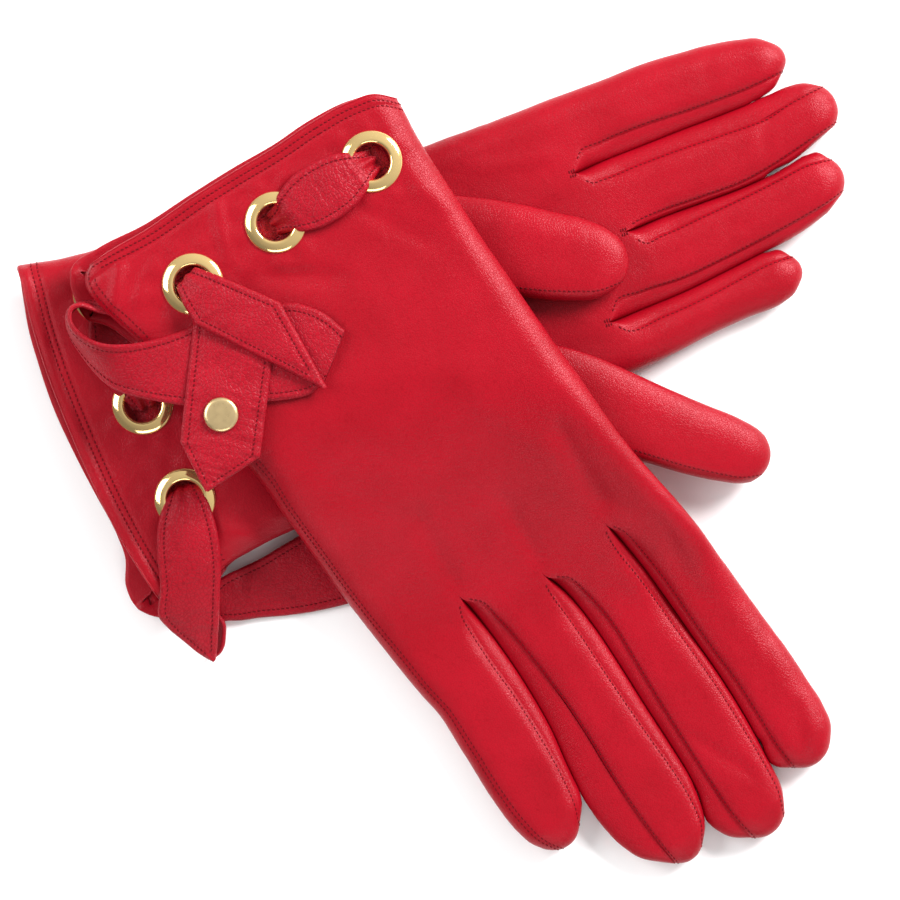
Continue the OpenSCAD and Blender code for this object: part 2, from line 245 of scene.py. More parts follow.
# ---- Outlines of the gloves, along x ----
# How far the cuff's edge runs ahead of the cuff line, by y, for its upper and its lower layer
CUFF_LEAD = (
    (curve((-53, 4.4), (-49.6, 3.6), (-41, 1.8), (-33, 0.4), (-20, -1.2), (-8, -2), (7, -2.4),
        (21, -2.3), (33, -1.6), (44, -0.2), (51.6, 0.6)),
     curve((-57.5, 2.4), (-56, 0.2), (-50, -3.7), (-44, -3.9), (-36.5, -1.2), (-29.8, -1), (-16.7, -2.5),
        (-5, -3.8), (9, -4.7), (25, -4.1), (33, -3.4), (44, -1.2), (51.6, 0.6))),
    (curve((-50, -4), (-43, -4), (-27, -2.5), (-10, -2), (3, -0.9), (15, 0.3), (28, 0.9), (40, 2.6),
        (46.7, 5.1), (51, 9.3)),
     curve((-55.5, 0.5), (-54, -3), (-50.5, -6.6), (-42, -6.8), (-27, -4.4), (-10, -3.4), (3, -2.4),
        (15, -1), (28, -0.4), (40, 1.8), (46.7, 4.8), (51, 9.3))),
)
# The edge at the little finger's side, and how the two layers part from it at the vent
LITTLE_EDGE = (
    curve((0, -52.4), (33, -47.2), (60, -45.2), (90, -43.5), (120, -41.8), (150, -39.6), (166.6, -38.4),
        (173.2, -37.6), (185.8, -36.9), (198.3, -36.5), (202, -35.1), (204.3, -33)),
    curve((0, -51.5), (28, -46.4), (66, -43.7), (97, -44), (127, -44.1), (148, -43), (155, -42.4),
        (169, -43.4), (183, -44.7), (195, -44.3), (200, -43), (203, -41.2)),
)
VENT_UPPER = (
    curve((0, 1.9), (2, 0.6), (6, 0), (27, 0)),
    curve((0, 6), (0.8, 4.3), (2, 2.7), (4, 1.2), (7, 0.3), (13, 0), (27, 0)),
)
VENT_LOWER = (
    curve((0, 1.4), (1.5, -2.3), (4, -5), (8, -6.2), (14, -5.6), (20, -3), (24, -0.8), (27, 0)),
    curve((0, 0.8), (1, -1.6), (3, -3.8), (6, -5), (10, -4.8), (15, -2.8), (22, -1.4), (27, 0)),
)
# The fold at the index finger's side
INDEX_EDGE = (
    curve((0, 51.6), (12, 48.9), (23, 47.6), (32, 46.4), (60, 45), (90, 42.5), (120, 41.3), (150, 41),
        (172.6, 40.8), (185, 40.9), (197, 40), (203, 39.4), (212.8, 37.5), (218.4, 35.6), (220.6, 33.6)),
    curve((0, 50.9), (10, 50), (28, 48.6), (66, 46.5), (97, 45.8), (127, 45.7), (146, 47.4), (154.4, 48),
        (173, 47.9), (191, 48), (207.7, 47.5), (217, 46.7), (223, 45), (226, 42.6)),
)
# Between each two fingers: where they touch, and where the slit begins above and below
TOUCH = (
    (curve((149.8, -24.1), (160, -23.8), (172.4, -23.5), (185, -22.4), (198, -21.1), (205, -20.5),
        (211, -19.4), (218, -17.4), (226, -15)),
     curve((162.5, -1.8), (175, -1.5), (187, -1.8), (199, -2), (212, -1), (219, 0.4), (224, 1.5), (232, 2)),
     curve((154.8, 18.6), (164, 19.2), (177, 19.3), (189, 19.4), (201.5, 19.3), (211, 19.6), (218, 21),
        (230, 22))),
    (curve((131, -17.6), (141.5, -16.9), (152, -16.9), (164, -17.6), (177.5, -19.3), (188, -21.7),
        (195, -23), (206, -24.5)),
     curve((140, 5.2), (149, 7.3), (160.5, 7.8), (173.5, 7.2), (187, 6.2), (200, 5.4), (211, 4.4),
        (217, 3.2), (222, 1.2), (237, 1)),
     curve((138.4, 27.6), (146, 28.3), (155, 28.8), (167, 28.9), (180, 28.5), (192, 28.1), (206, 27),
        (213, 26.1), (221, 24.8), (236, 24))),
)
SLIT_UPPER = (((148.6, -23.8), (162, -1.6), (154.4, 19)), ((130.6, -17.8), (139.6, 4.9), (138, 27.3)))
SLIT_LOWER = (((131, -21), (140, 0), (138, 20)), ((149, -17.5), (154, 6.5), (150, 28)))


def parting(hand, *points):
    """A finger's own outline from where it leaves its neighbour, on its low-y (-1) or high-y side."""
    x, y = points[0]
    return curve((x - 8, y + hand * 9), *points)


def finger_plan(end, bulge, low_seam, high_seam, low_free, high_free):
    """A finger: the x where its tip's arc begins and how far that goes, then its seams on the upper
    face and its own outline where it parts from its neighbours, on the low-y and high-y sides."""
    return {"end": end, "bulge": bulge, "seam": (low_seam, high_seam), "free": (low_free, high_free)}


PLANS = (
    (finger_plan(204.3, 2.1, None,
        curve((148.6, -23.8), (152.6, -26.7), (165, -27.4), (177, -26.8), (190, -25.2), (197, -24.4),
            (204.3, -24.6)),
        LITTLE_EDGE[0], parting(1, (195, -20.5), (198.3, -21.4), (202.7, -22.6), (204.3, -24.6))),
     finger_plan(224.5, 2.1,
        curve((148.6, -23.8), (152.6, -20.2), (161.6, -19.4), (173.6, -20), (186.3, -19.2),
            (199.4, -17.9), (212.5, -16.2), (219, -15.1), (224.5, -13.7)),
        curve((162, -1.6), (165, -4.9), (173, -5.9), (185.7, -5.2), (199, -4.3), (210.4, -3.2),
            (217, -2.4), (224.5, -3.1)),
        parting(-1, (205, -21), (211, -19.6), (218.3, -17.4), (224.5, -13.7)),
        parting(1, (205, -1), (214.5, 0), (219, 0.1), (222.9, -0.9), (224.5, -3.1))),
     finger_plan(229.5, 2.5,
        curve((162, -1.6), (175, -0.2), (187, -0.6), (199.6, -0.8), (206, 0), (216.5, 2.1), (223, 3.6),
            (229.5, 5)),
        curve((154.4, 19), (157, 16.1), (162.5, 15), (175, 14.9), (187, 14.7), (199, 14.2), (211, 14),
            (219, 15.4), (229.5, 17)),
        parting(-1, (205, -2), (215, 0), (223, 2.6), (229.5, 5)),
        parting(1, (211, 20), (214, 19.8), (220.4, 20.1), (226.2, 19.1), (229.5, 17))),
     finger_plan(220.6, 2.8,
        curve((154.4, 19), (157.5, 22.2), (166, 23.9), (178.6, 24.2), (190.6, 23.5), (203, 23.1),
            (211.6, 23.2), (220.6, 24)),
        None,
        parting(-1, (208, 19), (214.1, 20), (218.5, 21.9), (220.6, 24)), INDEX_EDGE[0])),
    (finger_plan(203, 3.4, None,
        curve((130.6, -17.8), (136, -19.6), (142, -20.5), (151, -21.1), (163, -21.3), (177, -22.3),
            (188.5, -23.8), (198, -26), (203, -28.4)),
        LITTLE_EDGE[1], parting(1, (190, -21), (193.2, -22.2), (200, -25.4), (203, -28.4))),
     finger_plan(228.4, 2,
        curve((130.6, -17.8), (135.4, -14.6), (143.5, -13), (157, -11.9), (168.6, -11.7), (182.6, -12.2),
            (195, -13.3), (208, -14), (220, -14), (228.4, -13.6)),
        curve((139.6, 4.9), (147, 4.2), (161, 3.7), (179, 2.8), (196, 2.3), (207, 2.1), (218, 1),
            (224, -0.8), (228.4, -4)),
        parting(-1,  (187, -24), (198, -23.7), (208, -23.8), (216, -22.6), (222.3, -19.8),
            (225.4, -16.8), (228.4, -13.6)),
        parting(1, (211, 5), (217, 3), (222.2, 1.1), (225.5, -1), (228.4, -4))),
     finger_plan(235.3, 2.4,
        curve((139.6, 4.9), (144.3, 8.9), (153, 11.3), (164, 12), (173, 11.2), (189, 9.6), (203, 8.5),
            (216, 7.7), (226, 7.4), (235.3, 8.2)),
        curve((138, 27.3), (147, 26.4), (159, 26.7), (171.6, 26.5), (184, 26.3), (196.5, 26), (210, 25),
            (221, 23.9), (229.4, 22.4), (235.3, 19.8)),
        parting(-1, (214, 2), (223.3, 0.6), (227.6, 1.5), (232.3, 4.2), (235.3, 8.2)),
        parting(1, (213, 27), (221, 25), (229.4, 23.2), (235.3, 19.8))),
     finger_plan(226, 3.3,
        curve((138, 27.3), (144, 29.6), (154.5, 30.8), (164, 31), (175, 30.6), (187, 30.4),
            (197.4, 30.4), (208.4, 29.6), (218.4, 28.8), (226, 29)),
        None,
        parting(-1, (213, 26), (221.5, 24.9), (224.1, 26.4), (226, 29)), INDEX_EDGE[1])),
)
PARTED = -0.06  # from the line where two fingers touch back to a finger's side, which is just past it
ROUND = 7.5  # how far in from a folded edge the leather is rounded, and from a finger's seam
SEAM_ROUND = 5.0
SEAM_DROP = 0.34  # how far down a finger's seams lie, as a share of half its thickness
SEAM_EASE = 16.0  # the length over which seams and tips come about
LOWER_INSET = 3.4  # how far in a finger's seam on its lower face is
STEP = 1.1  # from one row of points to the next, but the first rows stand closer
FINE_STEP = 0.4
CUFF_FINE = 8.0
TIP_START = 9.0
TIP_ROUND = 6.5
TIP_ROWS = 15
TIP_POWER = 2.2
COLUMNS = (26, 24, 24, 28)
MIDDLE_COLUMN = 12  # the column that tells how far along a row stands
WALL_COLUMNS = 17
CUT = (160.0, 155.5)  # where the hand's leather ends and the fingers' begins
BEND = 11.0  # how far past the knuckle the leather would go wholly with the finger; carry() works out that place but does not use it
THUMB_BEND_HALF = 9
CUFF_ROWS = ((3.3, 5.0), (1.5, 3.4))  # the rows of stitches, in from the cuff's edge
GROOVE = (0.3, 0.7)  # a row of stitches pulls the leather in: how deep, how wide
PUFF = (0.35, 1.3, 1.1)  # between it and the edge it bulges: how high, where, how wide
GROMMETS = (
    ((20, 35), (19.1, 2.2), (20.5, -27)),
    ((19, 34.5), (16.8, 3), (17, -25.7)),
)
HOLE = 5.9  # in the leather, round a grommet's middle
RING_EDGE = 8.5
PUCKERS = 9  # round each grommet


def rounding(d, radius):
    q = np.clip(d / radius, 0, 1)
    return np.sqrt(np.maximum(1 - (1 - q) ** 2, 0))


def half_height(side, x):
    plan_half = FINGER_HALF * mix(1, 0.9, np.clip((x - KNUCKLE[side]) / 70, 0, 1))
    return mix(HALF_THICK, plan_half, ease((x - KNUCKLE[side] + 15) / 25))


def outline(side, number, hand, x):
    """A finger's outer edge on its low-y (-1) or high-y (1) side."""
    free = PLANS[side][number]["free"][0 if hand < 0 else 1](x)
    if hand < 0:
        return free if number == 0 else np.maximum(free, TOUCH[side][number - 1](x) + PARTED)
    return free if number == 3 else np.minimum(free, TOUCH[side][number](x) - PARTED)


def slit(side, number, hand, upper):
    """Where the slit beside a finger begins, or None at the hand's own edges."""
    gap = number - 1 if hand < 0 else number
    if gap < 0 or gap > 2:
        return None
    return (SLIT_UPPER if upper else SLIT_LOWER)[side][gap]


def seam(side, number, hand, upper, x):
    """The edge of a finger's panel: its seam past the slit, a dividing line before it."""
    end = PLANS[side][number]["end"]
    outer = outline(side, number, hand, x)
    start = slit(side, number, hand, upper)
    if start is None:
        return outer
    to_tip = ease((x - end + SEAM_EASE) / SEAM_EASE)
    if upper:
        sewn = PLANS[side][number]["seam"][0 if hand < 0 else 1](x)
        inside = hand * np.minimum(hand * sewn, hand * outer - 0.25 * (1 - to_tip))
    else:
        inside = outer - hand * LOWER_INSET * (1 - to_tip)
    return mix(start[1], inside, ease((x - start[0]) / 6))


def seam_drop(side, number, hand, upper, x):
    start = slit(side, number, hand, upper)
    return 0 * x if start is None else SEAM_DROP * ease((x - start[0]) / SEAM_EASE)


def middle_height(side, number, x, y):
    """Height of the middle of the glove's thickness. A finger turns level past the knuckle."""
    axis = (outline(side, number, -1, x) + outline(side, number, 1, x)) / 2
    level = ease((x - KNUCKLE[side] + 4) / 26)
    return low(side, x, mix(y, axis, level)) + half_height(side, x)


def vent_edge(side, upper, x):
    offset = (VENT_UPPER if upper else VENT_LOWER)[side](x)
    return LITTLE_EDGE[side](x) + np.where(x < VENT_LENGTH, offset, 0)


def tip_places(end, rows=TIP_ROWS):
    """Where rows of points stand at a finger's tip, closing up towards its end."""
    return end - TIP_START + TIP_START * np.sin(np.linspace(0, math.pi / 2, rows))


def past_tip(x, end):
    """How far x is along a finger's tip, from 0 at its start to 1 at its end."""
    return np.clip((x - end + TIP_START) / TIP_START, 0, 1)


def tip_bulge(u):
    """How far a tip's rows bow forward, from 0 at the sides to 1 in the middle."""
    return 1 - np.abs(2 * u - 1) ** TIP_POWER


def panel(side, number, upper, columns):
    """The leather on one face of one finger and of the hand before it."""
    end, cut = PLANS[side][number]["end"], CUT[side]
    fine = np.arange(0, CUFF_FINE, FINE_STEP)
    hand = np.append(fine, np.linspace(CUFF_FINE, cut, int(cut / STEP)))
    straight = np.linspace(cut, end - TIP_START, int((end - TIP_START - cut) / STEP) + 1)
    x_edge = np.concatenate([hand, straight[1:], tip_places(end)[1:]])[:, None]
    u = np.linspace(0, 1, columns)
    if number == 0:
        u = mix(u, u * u, 0.75)
    if number == 3:
        u = 1 - mix(1 - u, (1 - u) ** 2, 0.75)
    past = past_tip(x_edge, end)
    x = x_edge + PLANS[side][number]["bulge"] * tip_bulge(u) * past
    y0, y1 = seam(side, number, -1, upper, x_edge), seam(side, number, 1, upper, x_edge)
    if number == 0:
        y0 = np.where(x_edge < VENT_LENGTH, vent_edge(side, upper, x_edge), y0)
    y = y0 + (y1 - y0) * u
    shape = rounding((1 - past) * TIP_START + 0 * u, TIP_ROUND)
    apart = 0 * shape
    for hand_side, d in ((-1, y - y0), (1, y1 - y)):
        drop = seam_drop(side, number, hand_side, upper, x_edge)
        if slit(side, number, hand_side, upper) is None:
            f = rounding(d, ROUND)
            if hand_side < 0:
                apart = ease((VENT_LENGTH + 1 - x_edge) / 8) * (1 - f) * 0.6
        else:
            f = 1 - drop * (1 - rounding(d, SEAM_ROUND))
        shape = shape * f
    way = 1 if upper else -1
    z = middle_height(side, number, x, y) + way * half_height(side, x) * (shape + apart)
    groove = sum(GROOVE[0] * np.exp(-((x_edge - row) / GROOVE[1]) ** 2) for row in CUFF_ROWS[side])
    puff = PUFF[0] * np.exp(-((x_edge - PUFF[1]) / PUFF[2]) ** 2)
    z = z + way * (puff - groove) * (shape > 0.5)
    lead = CUFF_LEAD[side][0 if upper else 1](y)
    x = x + lead * (1 - ease(x_edge / 26))
    tags = [f"{SIDES[side]}_hand"] * (len(hand) - 1)
    tags += [f"{SIDES[side]}_{FINGERS[number]}"] * (len(x_edge) - len(hand))
    return np.stack([x, y, z], axis=-1), tags


def wall(side, number, hand):
    """A fourchette: it runs from the upper seam out to where the fingers touch, and back below."""
    upper_start, lower_start = slit(side, number, hand, True), slit(side, number, hand, False)
    first = min(upper_start[0], lower_start[0]) + 0.4
    end = PLANS[side][number]["end"]
    x = np.concatenate([np.arange(first, end - TIP_START, STEP), tip_places(end)])[:, None]
    outer = outline(side, number, hand, x)
    closing = rounding((1 - past_tip(x, end)) * TIP_START, TIP_ROUND)
    h = half_height(side, x)
    w = np.linspace(-1, 1, WALL_COLUMNS)
    y, reach = np.empty((2, len(x), WALL_COLUMNS))
    for upper, part in ((True, w <= 0), (False, w >= 0)):
        start = slit(side, number, hand, upper)
        open_here = ease((x - start[0]) / 1.5)
        edge = mix(outer, seam(side, number, hand, upper, x), open_here)
        sewn = 1 - seam_drop(side, number, hand, upper, x)
        height = mix(1 - 1.2 / HALF_THICK, sewn, open_here) * closing
        angle = (1 - np.abs(w[part])) * math.pi / 2
        y[:, part] = edge + (outer - edge) * np.sin(angle)
        reach[:, part] = height * np.cos(angle) * (1 if upper else -1)
    z = middle_height(side, number, x, y) + h * reach
    return np.stack([np.broadcast_to(x, y.shape), y, z], axis=-1)


# Soft folds in the upper face: from (x, y) to (x, y), how wide, and how high or deep
FOLDS = (
    ((24, -35, 34, -44, 2.2, 0.5), (40, -20, 62, -12, 4, -0.35), (28, 12, 44, 20, 3, 0.3),
     (60, 8, 84, -6, 4, -0.4), (88, -8, 112, -22, 4, -0.35), (126, 10, 146, 12, 3, -0.4),
     (120, -30, 144, -27, 3, -0.35), (132, 30, 150, 26, 2.4, 0.35), (217, 17, 212, 13, 2, -0.42),
     (209, 9, 208.5, 3, 1.7, -0.2), (203, 36, 200, 28, 2.6, -0.13), (192, -8, 190, -15, 2.4, -0.14)),
    ((2, -40, 8, -46, 1.8, 0.9), (6.5, -31, 11, -40, 1.7, 0.8), (5, -8, 13, -12, 2.2, 0.7),
     (27, -6, 38, 6, 3, -0.7), (22, -12, 30, 2, 2.4, 0.5), (9, 14, 14, 26, 2.4, 0.6),
     (26, 38, 40, 44, 3, 0.5), (30, 26, 46, 34, 3, -0.4), (44, -36, 74, -40, 3.4, -0.5),
     (112, 32, 134, 30, 3.2, -0.7), (120, 8, 137, 6, 2.6, -0.45), (108, -14, 128, -17, 3, -0.5),
     (150, 40, 170, 36, 2.6, -0.3), (204, 12, 222, 20, 2.2, -0.35), (214, 40, 224, 34, 2, -0.35),
     (90, 20, 112, 26, 4.5, 0.35), (70, -30, 92, -24, 5, -0.4)),
)
SEAM_INSET = 0.95  # from a finger's seam in to its stitches
OUTSEAM = (4.4, 5.7)  # the two rows along the right glove's edge, beyond the vent
HEM_ROW = 14  # the row and the column that show which way the hem lies
HEM_COLUMN = 10
TACK_PAST = (1.5, 0.8, 0.1)  # a bar tack's rows, past the start of its slit
TACK_ACROSS = (-1.4, -0.7, 0, 0.7, 1.4)


def undulate(side, points, normals):
    """Soft dents and fine creases, none at a grommet or a slit; and puckers round the grommets."""
    calm = np.ones(len(points))
    pucker = np.zeros(len(points))
    for g in GROMMETS[side]:
        dx, dy = points[:, 0] - g[0], points[:, 1] - g[1]
        r = np.hypot(dx, dy)
        calm *= ease((r - RING_EDGE) / 7)
        pucker += 0.2 * np.cos(PUCKERS * np.arctan2(dy, dx) + g[0]) * np.exp(-((r - RING_EDGE - 3) / 2) ** 2)
    for gap in range(3):
        near = ease((np.abs(points[:, 1] - TOUCH[side][gap](points[:, 0])) - 2) / 6)
        calm *= mix(1, near, ease((points[:, 0] - SLIT_UPPER[side][gap][0] + 6) / 8))
    p = points + 200 * side
    wave = 0.32 * noise(p, 26, 1) + 0.14 * noise(p, 9, 2)
    turned = np.stack([p[:, 0] * 0.5 + p[:, 1] * 0.87, (p[:, 1] * 0.5 - p[:, 0] * 0.87) * 0.35, p[:, 2]],
                      axis=1)
    where = np.clip(noise(p, 22, 3) + 0.1, 0, 1)
    crease = -np.abs(noise(turned, 3.2, 4)) * where * 0.22
    for x0, y0, x1, y1, wide, high in FOLDS[side]:
        way = np.array([x1 - x0, y1 - y0], float)
        size = np.hypot(*way)
        way /= size
        dx, dy = points[:, 0] - x0, points[:, 1] - y0
        s, t = dx * way[0] + dy * way[1], dy * way[0] - dx * way[1]
        past = np.maximum(np.maximum(-s, s - size), 0)
        bowed = t + 0.04 * s * (size - s) / size
        faded = np.exp(-(bowed / wide) ** 2 - (past / (1.6 * wide)) ** 2)
        wave += (normals[:, 2] > 0.2) * high * faded
    return points + normals * ((wave + crease) * calm + pucker)[:, None]


def inset(rows, normals, inside, least):
    """The point that far in along each row of points, and its normal. Shorter rows are left out."""
    path, out = [], []
    for row, normal in zip(rows, normals):
        reach = reaches(row)
        if reach[-1] >= least:
            path.append(at_reach(inside, reach, row))
            out.append(at_reach(inside, reach, normal))
    return np.array(path), np.array(out)


def along(skin, normals, grid, edge, inside, rows=slice(None)):
    """A path on one of the skin's grids, that far in from its edge: low, high, or cuff."""
    index = grid.T if edge == "cuff" else grid
    index = (index[:, ::-1] if edge == "high" else index)[rows]
    path, out = inset(skin.points[index], normals[index], inside, 1.6 * inside)
    return path, unit(out)


def bar_tack(skin, normals, x, y):
    """Three short rows of stitches across the foot of a finger's slit, on the upper face."""
    tops = np.nonzero(normals[:, 2] > 0.6)[0]
    rows = []
    for past in TACK_PAST:
        places = [(x + past, y + across) for across in TACK_ACROSS]
        nearest = [tops[np.argmin(np.hypot(*(skin.points[tops, :2] - place).T))] for place in places]
        rows.append((np.column_stack([places, skin.points[nearest, 2]]), normals[nearest]))
    return rows


def build_glove(side):
    """A glove's leather but its thumb: {body: object}, its lines of stitches by body, and for the hem
    each panel's edge."""
    skin = Surface()
    faces = [(number, upper) for number in range(4) for upper in (True, False)]
    for number, upper in faces:
        points, tags = panel(side, number, upper, COLUMNS[number])
        skin.grid(points, tags, flip=not upper)
    skin.weld()
    skin.points = undulate(side, skin.points, skin.normals())
    normals = skin.normals()
    centre = skin.points[skin.faces].mean(axis=1)
    hole = np.zeros(len(centre), bool)
    for g in GROMMETS[side]:
        hole |= np.hypot(centre[:, 0] - g[0], centre[:, 1] - g[1]) < HOLE
    pieces = {}
    for tag in sorted(set(skin.tags)):
        kept = skin.faces[(skin.tags == tag) & ~hole]
        pieces[tag] = leather_solid(f"{tag}_leather", side, skin.points, kept, normals, LEATHER)

    lines = {f"{SIDES[side]}_{name}": [] for name in ("hand", *FINGERS)}
    cuff = lines[f"{SIDES[side]}_hand"]
    if side == 0:
        for x, y in SLIT_UPPER[side]:
            cuff.extend(bar_tack(skin, normals, x, y))
    rims = []
    for (number, upper), grid in zip(faces, skin.grids):
        finger = lines[f"{SIDES[side]}_{FINGERS[number]}"]
        x_rows = skin.points[grid[:, MIDDLE_COLUMN], 0]
        edge, inner = grid[0], grid[HEM_ROW]
        if number == 0:
            slot = np.nonzero(x_rows < VENT_LENGTH - 3)[0][:0:-1]
            inner = np.concatenate([grid[slot, HEM_COLUMN], grid[HEM_ROW, HEM_COLUMN:HEM_COLUMN + 1],
                                    inner[1:]])
            edge = np.append(grid[slot, 0], edge)
        rims.append((upper, skin.points[edge], normals[edge], skin.points[inner]))
        for row in CUFF_ROWS[side]:
            path, out = along(skin, normals, grid, "cuff", row)
            if number == 0:
                slot = skin.points[grid[:30, 0]]
                gap = np.linalg.norm(path[:, None] - slot, axis=2).min(axis=1)
                path, out = path[gap > row], out[gap > row]
            cuff.append((path, out))
        for hand, edge in ((-1, "low"), (1, "high")):
            start = slit(side, number, hand, upper)
            if start is not None:
                rows = np.nonzero(x_rows > start[0] + 2.6)[0]
                finger.append(along(skin, normals, grid, edge, SEAM_INSET, slice(rows[0], None)))
        if number == 0:
            vent = np.nonzero(x_rows < VENT_LENGTH)[0][-1]
            for row in CUFF_ROWS[side]:
                cuff.append(along(skin, normals, grid, "low", row, slice(int(row / FINE_STEP), vent)))
            if upper and side == 1:
                for row in OUTSEAM:
                    finger.append(along(skin, normals, grid, "low", row, slice(vent, None)))
    return pieces, lines, rims


WALLS = ((0, 1, "little_inner"), (1, -1, "ring_outer"), (1, 1, "ring_inner"),
         (2, -1, "middle_outer"), (2, 1, "middle_inner"), (3, -1, "index_outer"))


def build_fourchette(side, number, hand, name):
    skin = Surface()
    skin.grid(wall(side, number, hand), name, flip=hand < 0)
    skin.weld()
    return leather_solid(f"{SIDES[side]}_{name}_fourchette_leather", side, skin.points, skin.faces,
                         skin.normals(), FOURCHETTE_THICK)


# ---- Thumbs, each drawn along their own axis: s from the base to the tip, t across ----
THUMB_BASE = ((98, 26), (99, 37.5))
THUMB_TIP = ((161.5, -9.9), (151.8, 77.1))
THUMB_HIGH = (
    curve((-14, 3), (-11, 6.5), (-6, 9.3), (0, 10.9), (21, 11), (31, 11.4), (40, 11.2), (49.5, 10.4),
        (58, 9.8), (64, 8.4), (68.5, 6.1)),
    curve((-12, 8), (-6, 11), (-1, 11.8), (10, 12), (21.5, 10.7), (29.6, 9.6), (42, 8.2), (54.7, 6.9),
        (60, 5.6), (62, 4.6)),
)
THUMB_DEEP = (
    curve((-14, -5), (-11, -9), (-6, -12), (0, -13.9), (20, -14.8), (44.5, -14.6), (52.4, -14.2),
        (59, -13.4), (65, -11.9), (68.5, -9.6)),
    curve((-12, -7), (-6, -11), (0, -12.6), (20, -12.8), (31, -12.5), (44.6, -12.2), (53, -11.5),
        (60, -10.2), (62, -9.3)),
)
THUMB_END = (68.5, 62.0)
THUMB_BULGE = (4.0, 3.6)
THUMB_FLOOR = (
    curve((-14, 10.3), (0, 10.5), (20, 10.8), (47, 10.8), (72, 10.8)),
    curve((-12, 16), (0, 14.4), (18, 11.9), (32, 9.6), (48, 5.2), (62, 2.6)),
)
THUMB_THICK = (
    curve((-14, 0.3), (-8, 1.6), (0, 3.4), (14, 5.6), (38, 7.6), (72, 8)),
    curve((-12, 1.2), (-6, 2.6), (0, 4), (12, 5.8), (32, 7.2), (62, 9.2)),
)
THUMB_BEND = (47.4, 32.2)
THUMB_FIRST = (-14, -12)
THUMB_COLUMNS = 30
THUMB_SEAM = (4.6, 4.2)
THUMB_SEAM_ROW = 14  # the row where its stitches begin
THUMB_ROUND = (8.5, 3.2, 9)  # its far edge, then its seamed edge: round, but soft further in


def thumb_place(side, s, t, z):
    a = unit(np.subtract(THUMB_TIP[side], THUMB_BASE[side]))
    x = THUMB_BASE[side][0] + a[0] * s - a[1] * t
    y = THUMB_BASE[side][1] + a[1] * s + a[0] * t
    return np.stack(np.broadcast_arrays(x, y, z), axis=-1)


def thumb_face(side, upper):
    end = THUMB_END[side]
    s_edge = np.concatenate([np.arange(THUMB_FIRST[side], end - TIP_START, STEP),
                             tip_places(end, TIP_ROWS - 1)])[:, None]
    u = (1 - np.cos(np.linspace(0, math.pi, THUMB_COLUMNS))) / 2
    past = past_tip(s_edge, end)
    s = s_edge + THUMB_BULGE[side] * tip_bulge(u) * past
    t0, t1 = THUMB_DEEP[side](s_edge), THUMB_HIGH[side](s_edge)
    t = t0 + (t1 - t0) * u
    shape = rounding((1 - past) * TIP_START + 0 * t, TIP_ROUND)
    far, near, soft = THUMB_ROUND
    seamed = rounding(t - t0, near) * 0.55 + 0.45 * rounding(t - t0, soft)
    shape = shape * rounding(t1 - t, far) * seamed
    half = THUMB_THICK[side](s) / 2
    z = THUMB_FLOOR[side](s) + half * (1 + (1 if upper else -1) * shape)
    return thumb_place(side, s, t, z)


def build_thumb(side):
    skin = Surface()
    body = f"{SIDES[side]}_thumb"
    for upper in (True, False):
        skin.grid(thumb_face(side, upper), body, flip=not upper)
    skin.weld()
    normals = skin.normals()
    p = skin.points + 60
    turned = np.stack([(p[:, 0] * 0.8 + p[:, 1] * 0.6) * 0.35, p[:, 1] * 0.8 - p[:, 0] * 0.6, p[:, 2]],
                      axis=1)
    creases = np.abs(noise(turned, 3.4, 6)) * np.clip(noise(p, 16, 5) + 0.2, 0, 1)
    skin.points = skin.points + normals * (0.25 * noise(p, 14, 1) - 0.3 * creases)[:, None]
    normals = skin.normals()
    base = skin.grids[0]
    lines = [along(skin, normals, base, "low", THUMB_SEAM[side], slice(THUMB_SEAM_ROW, None))]
    if side == 0:
        lines.append(along(skin, normals, base, "cuff", 1.6))
    return leather_solid(f"{body}_leather", side, skin.points, skin.faces, normals, LEATHER), lines


def carry(piece, side, body):
    """The piece goes with the hand if it is the hand's own; for a finger or the thumb the bend's ends are
    worked out but not used, and the piece's place is baked into its mesh.
    """
    hand = f"{SIDES[side]}_hand"
    if body == hand:
        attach(piece, hand)
        return
    if body.endswith("thumb"):
        s = THUMB_BEND[side]
        z = float(THUMB_FLOOR[side](s))
        a, b = (to_row(side, thumb_place(side, s + d, 0, z)) for d in (-THUMB_BEND_HALF, THUMB_BEND_HALF))
    else:
        k = KNUCKLE[side]
        y = float(INDEX_EDGE[side](k) + LITTLE_EDGE[side](k)) / 2
        a, b = to_row(side, [CUT[side], y, 8]), to_row(side, [k + BEND, y, 8])
    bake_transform(piece)


# ---- Stitches: short twisted threads, one after another along a path ----
STITCH_PITCH = 1.35
STITCH_LONG = 0.95
STITCH_SLANT = 0.16
THREAD = 0.17
THREAD_SIDES = 6
# A stitch's rings of points: where along it, and how thick
STITCH_RINGS = ((-0.5, 0.0), (-0.42, 0.75), (-0.15, 1.0), (0.15, 1.0), (0.42, 0.75), (0.5, 0.0))


